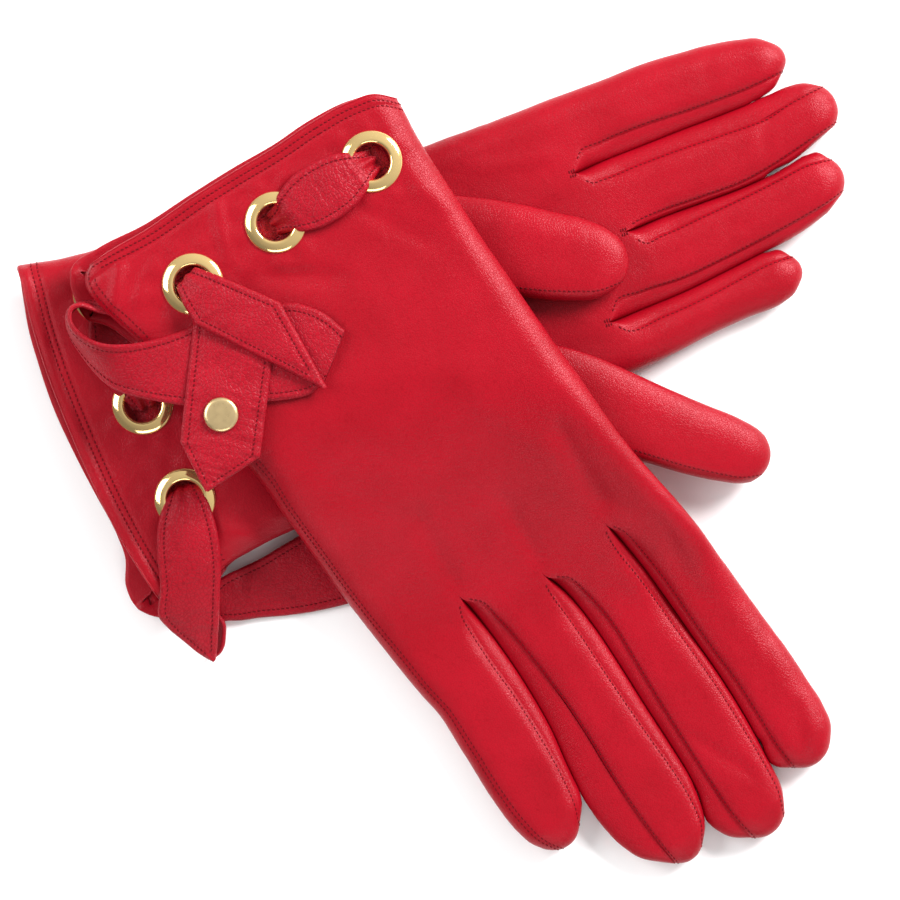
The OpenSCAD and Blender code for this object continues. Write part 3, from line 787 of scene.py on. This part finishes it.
def sew(name, side, lines):
    """One mesh of all the stitches along the lines, in the row frame."""
    angle = np.arange(THREAD_SIDES) * 2 * math.pi / THREAD_SIDES
    points = []
    for path, normal in lines:
        gone = reaches(path)
        for m in np.arange(STITCH_PITCH / 2, gone[-1], STITCH_PITCH):
            c, ahead, behind = (at_reach(m + d, gone, path) for d in (0, 0.4, -0.4))
            n = unit(at_reach(m, gone, normal))
            d = unit(ahead - behind)
            d = unit(d - n * np.dot(d, n))
            w = np.cross(d, n)
            d = unit(d + STITCH_SLANT * w)
            round_it = np.cos(angle)[:, None] * n + np.sin(angle)[:, None] * w * 1.25
            for place, width in STITCH_RINGS:
                raised = 0.06 - 0.5 * place * place
                points.append(c + d * place * STITCH_LONG + n * raised * THREAD * 2
                              + THREAD * width * round_it)
    points = np.concatenate(points)
    ring = np.arange(THREAD_SIDES)
    one = np.stack([ring, np.roll(ring, -1), np.roll(ring, -1) + THREAD_SIDES, ring + THREAD_SIDES], axis=1)
    starts = np.arange(0, len(points), THREAD_SIDES).reshape(-1, len(STITCH_RINGS))[:, :-1]
    faces = (starts.reshape(-1, 1, 1) + one).reshape(-1, 4)
    return make_mesh(name, to_row(side, points), faces)


# ---- The cuff's turned-in hem: a rolled edge with a strip inside it ----
HEM_DEPTH = 6.4
HEM_UNDER = -LEATHER - 0.7
# Its outline from the cuff's edge: how far in, and how high
HEM_PROFILE = (
    (-0.05, 0.03), (-0.45, -0.15), (-0.72, -0.55), (-0.78, HEM_UNDER / 2), (-0.72, HEM_UNDER + 0.45),
    (-0.4, HEM_UNDER + 0.08), (0.2, HEM_UNDER), (HEM_DEPTH, HEM_UNDER), (HEM_DEPTH + 0.15, HEM_UNDER + 0.3),
    (HEM_DEPTH, -LEATHER - 0.05), (0.4, -LEATHER - 0.02), (-0.05, 0.03),
)


def build_hem(side, rims):
    """rims has, for each panel, its edge's points and normals and the points of a row just inside.
    The edge runs from the vent's end round the corner and along the cuff."""
    surface = Surface()
    for upper, order in ((True, 1), (False, -1)):
        chosen = [r[1:] for r in rims if r[0] == upper]
        edge, normal, inner = (np.concatenate(part)[::order] for part in zip(*chosen))
        keep = np.append(True, np.linalg.norm(np.diff(edge, axis=0), axis=1) > 0.05)
        edge, normal, inner = edge[keep], normal[keep], inner[keep]
        way = np.gradient(edge[:, :2], axis=0)
        ahead = unit(np.stack([-way[:, 1], way[:, 0]], axis=1))
        chord = inner - edge
        ahead *= np.sign(np.sum(ahead * chord[:, :2]))
        slope = chord[:, 2] / np.linalg.norm(chord[:, :2], axis=1)
        ahead = unit(np.column_stack([ahead, slope]))
        corner = edge[np.argmin(edge[:, 0] + edge[:, 1])]
        mitre = np.minimum(np.linalg.norm(edge - corner, axis=1) / HEM_DEPTH + 0.12, 1)[:, None]
        rows = [edge + ahead * s * (mitre if s > 1 else 1) + normal * h for s, h in HEM_PROFILE]
        surface.grid(np.stack(rows, axis=1), "hem")
    surface.weld()
    return glove_mesh(f"{SIDES[side]}_cuff_hem_leather", side, surface, surface.normals())


# ---- Laces: flat leather straps with turned, stitched edges ----
EDGE_STITCH = 2.5
STITCH_GROOVE = (0.16, 0.6)  # how deep, how wide
GATHERED = 0.16  # the share of a strap's length that is gathered at an end
STRAP_COLUMNS = 26
STRAP_ROUND = 0.9


def smooth_path(stations, steps):
    """A smooth polyline through the stations, which are points in a row."""
    p = np.asarray(stations, float)
    d = np.concatenate([[0], np.cumsum(np.linalg.norm(np.diff(p, axis=0), axis=1) ** 0.7)])
    at = np.linspace(0, d[-1], steps)
    return np.stack([curve(*zip(d, p[:, a]))(at) for a in range(p.shape[1])], axis=1)


def straight_path(stations, steps):
    """A polyline with corners at the stations."""
    p = np.asarray(stations, float)
    d = reaches(p)
    at = np.union1d(np.linspace(0, d[-1], steps), d)
    return np.stack([np.interp(at, d, p[:, a]) for a in range(p.shape[1])], axis=1)


def ribbon(name, side, stations, crown=0.5, pleats=(0, 0), seed=0, crumple=0.25, sewn=True, corners=False):
    """A strap between two edges, and its lines of stitches. Each station is (x, y, z) on one edge and
    (x, y, z) on the other. crown says how high its middle stands, pleats how deep it is gathered at
    its start and its end, and corners keeps its outline's corners."""
    stations = [a + b for a, b in stations]
    both = straight_path(stations, 70) if corners else smooth_path(stations, 12 * len(stations))
    left, right = both[:, None, :3], both[:, None, 3:]
    even = np.linspace(0, 1, STRAP_COLUMNS)[None, :, None]
    u = mix((1 - np.cos(even * math.pi)) / 2, even, 0.55)
    top = mix(left, right, u)
    n = unit(np.cross(np.gradient(top, axis=0), np.gradient(top, axis=1)))
    if n[..., 2].mean() < 0:
        n = -n
    n = unit(n.mean(axis=1, keepdims=True) + 0 * top)
    width = np.linalg.norm(right - left, axis=2)[..., None]
    d = np.minimum(u, 1 - u) * width
    s = np.linspace(0, 1, len(top))[:, None, None]
    lift = crown * (1 - (2 * u - 1) ** 2)
    gather = pleats[0] * np.exp(-(s / GATHERED) ** 2) + pleats[1] * np.exp(-((1 - s) / GATHERED) ** 2)
    lift = lift + gather * np.cos(u * 15 + seed) * np.sin(math.pi * u)
    if sewn:
        lift = lift - STITCH_GROOVE[0] * np.exp(-((d - EDGE_STITCH) / STITCH_GROOVE[1]) ** 2)
    stretched = np.stack(np.broadcast_arrays(s * 60, u * width * 0.5, 9.0 * seed), axis=-1)
    lift = lift + crumple * (noise(stretched, 7, 11) - 1.1 * np.abs(noise(stretched, 3, 12)))
    edge = rounding(d, STRAP_ROUND)
    half = LACE_THICK / 2
    upper = top + n * (half * edge + lift)
    lower = top - n * (half * edge - lift * 0.8)
    closed = np.concatenate([upper, lower[:, ::-1]], axis=1)
    surface = Surface()
    surface.grid(np.concatenate([closed, closed[:, :1]], axis=1), name, flip=True)
    for end, flip in ((0, True), (-1, False)):
        surface.grid(np.stack([upper[end], lower[end]]), name, flip=flip)
    surface.weld()
    normals = surface.normals()
    if np.sum(normals * unit(surface.points - surface.points.mean(axis=0))) < 0:
        surface.faces = surface.faces[:, ::-1]
        normals = -normals
    obj = glove_mesh(name, side, surface, normals)
    if not sewn:
        return obj, []
    up = unit(np.cross(np.gradient(upper, axis=0), np.gradient(upper, axis=1)))
    up = up * np.sign(np.sum(up * n, axis=2, keepdims=True))
    return obj, [inset(upper[:, ::way], up[:, ::way], EDGE_STITCH, 2.4 * EDGE_STITCH) for way in (1, -1)]


def between(side, z):
    """Stations of the run of lace from the first grommet to the second, over the cuff."""
    a, b = (np.array(g, float) for g in GROMMETS[side][:2])
    d = unit(b - a)
    w = np.array([-d[1], d[0]])
    stations = []
    for s, half, lift in SPINDLE:
        c = mix(a, b, s)
        stations.append(((*(c + w * half), z + lift), (*(c - w * half), z + lift)))
    return stations


# Along that run: how far along it, half its width, and its height above the cuff
SPINDLE = ((-0.02, 3.6, -3.2), (0.06, 4.4, -0.9), (0.15, 6.0, 1.0), (0.3, 7.9, 1.7), (0.5, 8.6, 1.9),
           (0.7, 8.0, 1.7), (0.85, 6.2, 1.0), (0.94, 4.4, -0.9), (1.02, 3.6, -3.2))

# ---- Gold fittings: turned shapes, each from its outline's (radius, height) ----
TURNED_SIDES = 72
EYELET = ((5.2, -1.75), (5.15, 0.3), (5.25, 0.85), (5.5, 1.2), (5.9, 1.36), (6.7, 1.26), (7.6, 0.98),
          (8.25, 0.66), (8.6, 0.28), (8.55, 0), (8.1, -0.12), (6.2, -0.1), (5.8, -0.5), (5.7, -1.75))
STUD_SHAPE = ((0, 1.34), (1.6, 1.33), (3.2, 1.3), (4, 1.22), (4.5, 1), (4.75, 0.7), (4.8, 0.4), (4.6, 0.1),
              (0, 0))


def turned_piece(name, side, centre, profile, up=1):
    """A shape turned round an upright axis through centre, in a glove's frame."""
    fine = smooth_path(profile, 4 * len(profile))
    angle = np.linspace(0, 2 * math.pi, TURNED_SIDES + 1)[None]
    r, h = np.maximum(fine[:, :1], 0), fine[:, 1:]
    places = (centre[0] + r * np.cos(angle), centre[1] + r * np.sin(angle), centre[2] + h * up)
    points = np.stack(np.broadcast_arrays(*places), axis=-1)
    surface = Surface()
    closed = profile[0][0] > 0
    surface.grid(np.concatenate([points, points[:1]]) if closed else points, name, flip=up < 0)
    surface.weld()
    normals = surface.normals()
    rise = surface.points[:, 2] - surface.points[:, 2].mean()
    if np.sum(normals[:, 2] * rise) < 0:
        surface.faces, normals = surface.faces[:, ::-1], -normals
    return glove_mesh(name, side, surface, normals)


# ---- Materials ----
def adjust(node, settings):
    """Settings in lower case are the node's own, capitalised ones are its inputs'."""
    for key, value in settings.items():
        if key[0].islower():
            setattr(node, key, value)
        else:
            node.inputs[key.replace("_", " ")].default_value = value
    return node


def add_node(tree, kind, **settings):
    return adjust(tree.nodes.new(f"ShaderNode{kind}"), settings)


def link(tree, a, out, b, into):
    tree.links.new(a.outputs[out], b.inputs[into])


def texture(tree, kind, **settings):
    """A texture that stays with the object."""
    place = add_node(tree, "TexCoord")
    pattern = add_node(tree, f"Tex{kind}", **settings)
    link(tree, place, "Object", pattern, "Vector")
    return pattern


def ramp(tree, source, out, **limits):
    """A value carried over from one range to another; a range is 0 to 1 where no limit is given."""
    node = add_node(tree, "MapRange", **limits)
    link(tree, source, out, node, "Value")
    return node


def bump(tree, source, out, strength, distance, under=None):
    """Fine relief, on top of other relief where that is given."""
    node = add_node(tree, "Bump", Strength=strength, Distance=distance)
    link(tree, source, out, node, "Height")
    if under:
        link(tree, under, "Normal", node, "Normal")
    return node


def new_material(name, **settings):
    """A material, its tree, and its shader with the inputs that the settings name."""
    material = bpy.data.materials.new(name)
    material.use_nodes = True
    tree = material.node_tree
    return material, tree, adjust(next(n for n in tree.nodes if n.type == "BSDF_PRINCIPLED"), settings)


def leather(name, dark, light, rough, grain=1.0, cell=1500.0, shine=0.28):
    """Dyed nappa: fine pebbled grain, pores, a faint mottle, painted shade in the grain's creases and a soft
    sheen.
    """
    material, tree, shader = new_material(name, Roughness=rough, Specular_IOR_Level=shine,
                                          Specular_Tint=(1, 0.55, 0.6, 1))
    cells = texture(tree, "Voronoi", feature="DISTANCE_TO_EDGE", Scale=cell)
    pores = texture(tree, "Noise", Scale=900.0, Detail=4.0)
    broad = texture(tree, "Noise", Scale=60.0, Detail=3.0)
    wrinkle = texture(tree, "Noise", Scale=210.0, Detail=3.0, Distortion=0.8)
    creases = ramp(tree, cells, "Distance", From_Max=0.18)
    pebbled = bump(tree, creases, "Result", min(0.24 * grain, 1), 0.00022)
    pored = bump(tree, pores, "Fac", min(0.08 * grain, 1), 0.0005, pebbled)
    wrinkled = bump(tree, wrinkle, "Fac", min(0.035 * grain * grain, 0.6), 0.003, pored)
    link(tree, wrinkled, "Normal", shader, "Normal")
    colour = add_node(tree, "Mix", data_type="RGBA", A=(*dark, 1), B=(*light, 1))
    mottle = ramp(tree, broad, "Fac", From_Min=0.3, From_Max=0.7)
    link(tree, mottle, "Result", colour, "Factor")
    # Painted shade: the colour is darker in the grain's creases, where shade falls
    painted_crease_shade = ramp(tree, cells, "Distance", From_Max=0.12, To_Min=1 - 0.18 * grain)
    shaded = add_node(tree, "VectorMath", operation="SCALE")
    link(tree, colour, "Result", shaded, 0)
    link(tree, painted_crease_shade, "Result", shaded, "Scale")
    link(tree, shaded, "Vector", shader, "Base Color")
    return material


def thread(name, colour):
    """Waxed twisted thread."""
    material, tree, shader = new_material(name, Base_Color=(*colour, 1), Roughness=0.8,
                                          Specular_IOR_Level=0.15)
    twist = texture(tree, "Noise", Scale=2500.0)
    link(tree, bump(tree, twist, "Fac", 0.5, 0.0002), "Normal", shader, "Normal")
    return material


def gold(name, colour, rough, scratch, metal):
    """Plated metal, with fine wear in its roughness."""
    material, tree, shader = new_material(name, Base_Color=(*colour, 1), Metallic=metal)
    wear = texture(tree, "Noise", Scale=700.0, Detail=5.0)
    spread = ramp(tree, wear, "Fac", To_Min=rough * 0.6, To_Max=rough * 1.5)
    link(tree, spread, "Result", shader, "Roughness")
    link(tree, bump(tree, wear, "Fac", scratch, 0.0001), "Normal", shader, "Normal")
    return material


THREAD_RED = thread("dark_red_thread", (0.12, 0.001, 0.005))
LACE_RED = leather("lace_leather", (0.275, 0.0018, 0.009), (0.33, 0.0026, 0.012), rough=0.42, grain=1.55,
                   cell=1000.0, shine=0.3)
GOLD = gold("polished_gold", (1.0, 0.71, 0.3), rough=0.09, scratch=0.02, metal=0.9)
OLD_GOLD = gold("brushed_gold", (0.66, 0.49, 0.25), rough=0.3, scratch=0.1, metal=0.85)
LEATHER_RED = leather("cherry_nappa", (0.285, 0.0016, 0.008), (0.33, 0.0022, 0.0105), rough=0.36)


def paint(obj, material):
    obj.data.materials.clear()
    obj.data.materials.append(material)


def dress(obj, material):
    paint(obj, material)


def stitch(side, body, paths):
    """A body's own stitches, placed as its leather is."""
    seams = sew(f"{body}_stitches", side, paths)
    dress(seams, THREAD_RED)
    carry(seams, side, body)


# ---- The gloves ----
for side in (0, 1):
    hand_body, thumb_body = f"{SIDES[side]}_hand", f"{SIDES[side]}_thumb"
    pieces, lines, rims = build_glove(side)
    for body, piece in pieces.items():
        dress(piece, LEATHER_RED)
        carry(piece, side, body)
        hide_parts(f"{body}_shell" if body == hand_body else f"{body}_finger")
    for body, paths in lines.items():
        stitch(side, body, paths)
    for number, hand, name in WALLS:
        piece = build_fourchette(side, number, hand, name)
        dress(piece, LEATHER_RED)
        carry(piece, side, f"{SIDES[side]}_{FINGERS[number]}")
        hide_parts(f"{SIDES[side]}_{name}_fourchette")
    piece, paths = build_thumb(side)
    dress(piece, LEATHER_RED)
    carry(piece, side, thumb_body)
    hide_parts(f"{thumb_body}_base", f"{thumb_body}_tip")
    stitch(side, thumb_body, paths)
    hem = build_hem(side, rims)
    dress(hem, LEATHER_RED)
    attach(hem, hand_body)
    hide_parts(f"{SIDES[side]}_cuff_hem")

# ---- The laces ----
LEFT_TOP = CUFF_LOW + 2 * HALF_THICK
RIGHT_TOP = OVER_HEIGHT + 2 * HALF_THICK
INNER_DEPTH = 4.4  # the lace inside the cuff, below its upper face
INNER_HALF = 5.6  # and half its width
LEFT_STRAP = (
    ((16.6, -23.6, 9.8), (25, -24.2, 9.8)), ((15.6, -25, 13), (25.8, -26.2, 13)),
    ((12.9, -28, 14.9), (26.4, -30.2, 14.9)), ((9.9, -32.8, 15.5), (26.2, -35.6, 15.5)),
    ((7.7, -38.4, 15.2), (25.3, -41.2, 15.2)), ((4.8, -48.2, 13.9), (22.8, -49.2, 13.9)),
    ((1.6, -54.7, 11.8), (20, -55.3, 11.8)), ((2.7, -59.2, 9.4), (17.4, -61.2, 9)),
    ((5.5, -64.6, 6.4), (15.1, -66, 6.2)), ((7.9, -69, 4.2), (13.4, -69.5, 4.2)),
    ((10.4, -72.4, 2.6), (11.9, -72, 2.8)),
)
LEFT_CURL = (
    ((10.6, -59.8, 1), (15.8, -58.8, 6.4)), ((12.6, -62.6, 0.9), (17.4, -61.4, 6)),
    ((13.2, -64.6, 0.8), (17.9, -64.1, 5.4)), ((12.6, -66.8, 0.8), (16.7, -67.1, 4.6)),
    ((11.8, -68.6, 0.8), (15.4, -69.6, 3.8)), ((11.2, -69.8, 0.8), (13.8, -71, 3.2)),
    ((10.4, -70.9, 0.9), (11.6, -71.7, 2.6)),
)
LEFT_BAND = (
    ((12.4, -60, 2.2), (12.4, -71.6, 1.6)), ((17, -54, 2.6), (16.6, -63.4, 1)),
    ((21.6, -51.4, 2.8), (22.6, -64.8, 0.9)), ((28, -50.8, 2.6), (27.8, -66, 0.9)),
    ((34, -50.3, 2.3), (34, -67.8, 0.9)), ((41, -49.1, 2), (41.4, -69.6, 0.9)),
    ((48.2, -48.2, 1.6), (49.4, -70.9, 0.9)), ((58, -49.4, 1.2), (60, -72, 0.9)),
    ((68, -52.5, 1), (70, -72.6, 0.9)), ((76, -58, 0.9), (79, -71, 0.9)),
)
BAND = (
    ((52.6, 0.8, 30.9), (60.6, -12.2, 30.9)), ((45, -1.2, 31), (61, -17.6, 31)),
    ((38.3, -5.7, 31), (58.5, -23.5, 31)), ((34.6, -12, 31), (54.5, -30, 31)),
    ((30.5, -20.5, 31), (49.6, -37.5, 31)), ((27.2, -28.6, 31), (45, -45, 30.9)),
    ((25.6, -36, 31.2), (39.6, -50.9, 30.4)), ((22.6, -44.6, 31.6), (32.8, -57, 28.6)),
    ((19.3, -50.9, 31.8), (27.4, -60.9, 26)), ((15.1, -56, 31.6), (20.6, -62.6, 23)),
    ((10.1, -59, 31.2), (13.6, -62.6, 20.8)), ((5.2, -59.4, 30.6), (7, -61.6, 19.6)),
    ((2.4, -57.2, 29.8), (2.6, -58.6, 19)), ((3, -54.4, 28.6), (2.2, -54.6, 19.2)),
    ((7.6, -51.4, 26.8), (4, -50.4, 21.4)), ((13.6, -46.6, 25.4), (6.4, -44, 23.4)),
)
TOP_FOLD = (
    ((14.6, -23.2, 27.2), (16.8, -28.6, 27.2)), ((14.2, -21.9, 31.4), (16, -30.2, 31.4)),
    ((19, -18.8, 33.8), (20, -31.1, 33.8)), ((26.5, -14.4, 34.5), (26.7, -31.8, 34.4)),
    ((35.6, -9.1, 34.6), (35.4, -27.3, 34.5)), ((62.4, -12.6, 32.8), (61.7, -13.9, 32.8)),
)
TAIL = (
    ((25.6, -31.8, 32.2), (47.1, -20.1, 32.2)), ((50.3, -54.5, 32.4), (66.9, -39.1, 32.4)),
    ((65.2, -57, 31.9), (66.1, -56.4, 31.9)),
)


def lay(name, side, stations, body, flat, node=None, also=(), **how):
    """A strap, its stitching and the body it goes with; the flat strip it was cut as is not used."""
    piece, paths = ribbon(name, side, stations, **how)
    dress(piece, LACE_RED)
    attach(piece, body)
    if node:
        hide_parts(node)
    seams = sew(f"{name}_stitches", side, paths)
    dress(seams, THREAD_RED)
    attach(seams, body)


def inner_run(side, z):
    """The lace inside the glove: from the second grommet to the third, and from the first to the fold."""
    first, second, third = (np.array(g, float) for g in GROMMETS[side])
    down = [(second + (third - second) * t, z) for t in (-0.14, 0.2, 0.8, 1.14)]
    out = [(first + np.array([0, d]), z + dz) for d, dz in ((-4, 0.2), (2, 0), (6, -0.6), (9, -1.6))]
    return [[((c[0] + INNER_HALF, c[1], h), (c[0] - INNER_HALF, c[1], h)) for c, h in run]
            for run in (down, out)]


curl = ribbon("left_lace_curl", 0, LEFT_CURL, crown=0.0, crumple=0.1, sewn=False)[0]
dress(curl, LACE_RED)
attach(curl, "left_hand")
lay("left_lace_strap", 0, LEFT_STRAP, "left_hand", (0.017, 0.055), "left_lace", [curl],
    pleats=(0.35, 0.1), seed=1)
lay("left_lace_band", 0, LEFT_BAND, "left_hand", (0.019, 0.068), crown=0.3, seed=2)
lay("left_lace_run", 0, between(0, LEFT_TOP), "left_hand", (0.015, 0.036), pleats=(0.7, 0.7), seed=3)
lay("right_lace_run", 1, between(1, RIGHT_TOP), "right_hand", (0.015, 0.036), "right_lace",
    pleats=(0.7, 0.7), seed=4)
lay("right_lace_band", 1, BAND, "right_hand", (0.019, 0.105), crown=0.3, seed=5)
lay("right_lace_fold", 1, TOP_FOLD, "right_hand", (0.014, 0.052), crown=0.5, pleats=(0.3, 0), seed=6,
    corners=True)
lay("right_lace_tail_strap", 1, TAIL, "lace_tail", (0.022, 0.039), "right_lace_tail", crown=0.35, seed=7,
    corners=True, crumple=0.4)
for side, top in enumerate((LEFT_TOP, RIGHT_TOP)):
    runs = zip(inner_run(side, top - INNER_DEPTH), ((0.012, 0.036), (0.012, 0.014)))
    for number, (run, size) in enumerate(runs, 1):
        lay(f"{SIDES[side]}_lace_inner_{number}", side, run, f"{SIDES[side]}_hand", size, crown=0.3,
            seed=8 + number)

# ---- Eyelets and the stud ----
FACES = ((("palm", LEFT_TOP, 1), ("back", CUFF_LOW, -1)), (("back", RIGHT_TOP, 1), ("palm", OVER_HEIGHT, -1)))
for side in (0, 1):
    for number, g in enumerate(GROMMETS[side], 1):
        for face, z, up in FACES[side]:
            node = f"{SIDES[side]}_{face}_eyelet_{number}"
            ring = turned_piece(f"{node}_ring", side, (*g, z), EYELET, up)
            dress(ring, GOLD)
            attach(ring, f"{SIDES[side]}_hand")
            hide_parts(node)
            paint(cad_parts[f"{SIDES[side]}_{face}_washer_{number}"], GOLD)

STUD = (51.0, -40.8, 33.2)
stud = turned_piece("stud_cap_disc", 1, STUD, STUD_SHAPE)
dress(stud, OLD_GOLD)
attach(stud, "lace_tail")
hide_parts("stud_cap")
paint(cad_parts["stud_post"], OLD_GOLD)


# ---- Table, lights and camera ----
TABLE_LEVEL = -0.0006
CAMERA = (-0.0211, 0.0143, 1.6)
CAMERA_TURN = math.atan2(-0.362, 0.932)
PICTURE_WIDTH = 0.255  # in metres, at the level of the table
SENSOR = 36


def build_table():
    material = new_material("white_table", Base_Color=(0.97, 0.97, 0.97, 1), Roughness=0.7)[0]
    corners = [(x, y, TABLE_LEVEL) for x, y in ((-4, -4), (4, -4), (4, 4), (-4, 4))]
    table = make_mesh("table_top", corners, [[0, 1, 2, 3]])
    paint(table, material)


def seen(right, up, z):
    """A place given as the camera sees it: to the right and up from the picture's middle."""
    c, s = math.cos(CAMERA_TURN), math.sin(CAMERA_TURN)
    return (CAMERA[0] + c * right - s * up, CAMERA[1] + s * right + c * up, z)


def add_light(name, place, size, power):
    """A panel of light that faces the picture's middle."""
    data = bpy.data.lights.new(name, "AREA")
    data.shape = "RECTANGLE"
    data.size, data.size_y = size
    data.energy = power
    lamp = bpy.data.objects.new(name, data)
    bpy.context.scene.collection.objects.link(lamp)
    lamp.location = place
    way = Vector(seen(0, 0, 0)) - Vector(place)
    lamp.rotation_euler = way.to_track_quat("-Z", "Y").to_euler()


def build_world():
    """A white studio, brighter to the upper right, as the key light's wall is."""
    world = bpy.data.worlds.new("studio")
    bpy.context.scene.world = world
    world.use_nodes = True
    sky = world.node_tree
    backdrop = next(n for n in sky.nodes if n.type == "BACKGROUND")
    backdrop.inputs["Color"].default_value = (1, 1, 1, 1)
    place = add_node(sky, "TexCoord")
    toward = add_node(sky, "VectorMath", operation="DOT_PRODUCT")
    toward.inputs[1].default_value = (0.915, 0.403, 0.25)
    link(sky, place, "Generated", toward, 0)
    glow = ramp(sky, toward, "Value", From_Min=-0.5, From_Max=0.8, To_Min=0.16, To_Max=0.75)
    link(sky, glow, "Result", backdrop, "Strength")


build_table()
camera = bpy.data.objects.new("camera", bpy.data.cameras.new("camera"))
bpy.context.scene.collection.objects.link(camera)
camera.location = CAMERA
camera.rotation_euler = (0, 0, CAMERA_TURN)
camera.data.lens = SENSOR * CAMERA[2] / PICTURE_WIDTH
bpy.context.scene.camera = camera
build_world()
add_light("key", seen(0.8, 0.75, 0.75), (0.6, 0.45), 30.0)
add_light("left", seen(-1.0, 0.3, 0.8), (0.8, 0.8), 14.0)
add_light("below", seen(0.1, -1.1, 0.8), (1.0, 0.6), 7.0)
bpy.context.scene.view_settings.view_transform = "Standard"
bpy.context.scene.view_settings.look = "None"

bpy.context.view_layer.update()
